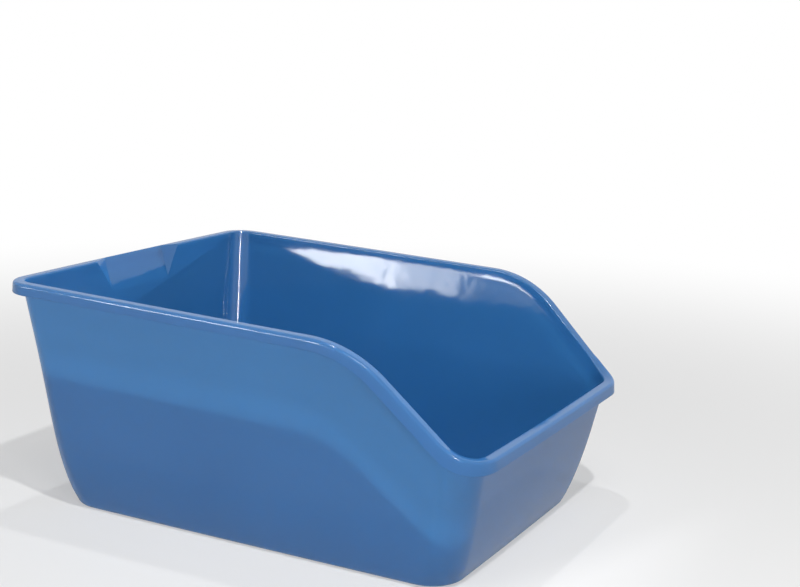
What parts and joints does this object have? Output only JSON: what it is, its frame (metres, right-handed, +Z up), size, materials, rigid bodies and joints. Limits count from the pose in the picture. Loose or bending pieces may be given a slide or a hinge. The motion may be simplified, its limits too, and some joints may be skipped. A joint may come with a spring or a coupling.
{
  "type": "high-sided litter box",
  "caption": "Open high-sided litter box: a moulded tub with a turned-over rim that dips to a low entrance end, and a grip recess at the high end.",
  "frame": {"origin": "on the floor under the middle of the rim's outline", "axes": "+Z up, +X towards the low entrance end, +Y to the left as seen from the high end looking to the entrance"},
  "size_m": [0.4838, 0.3852, 0.2253],
  "materials": {
    "tub_plastic": "glossy blue moulded polypropylene"
  },
  "bodies": {
    "root": {"tub": "tub_plastic"}
  },
  "joints": []
}
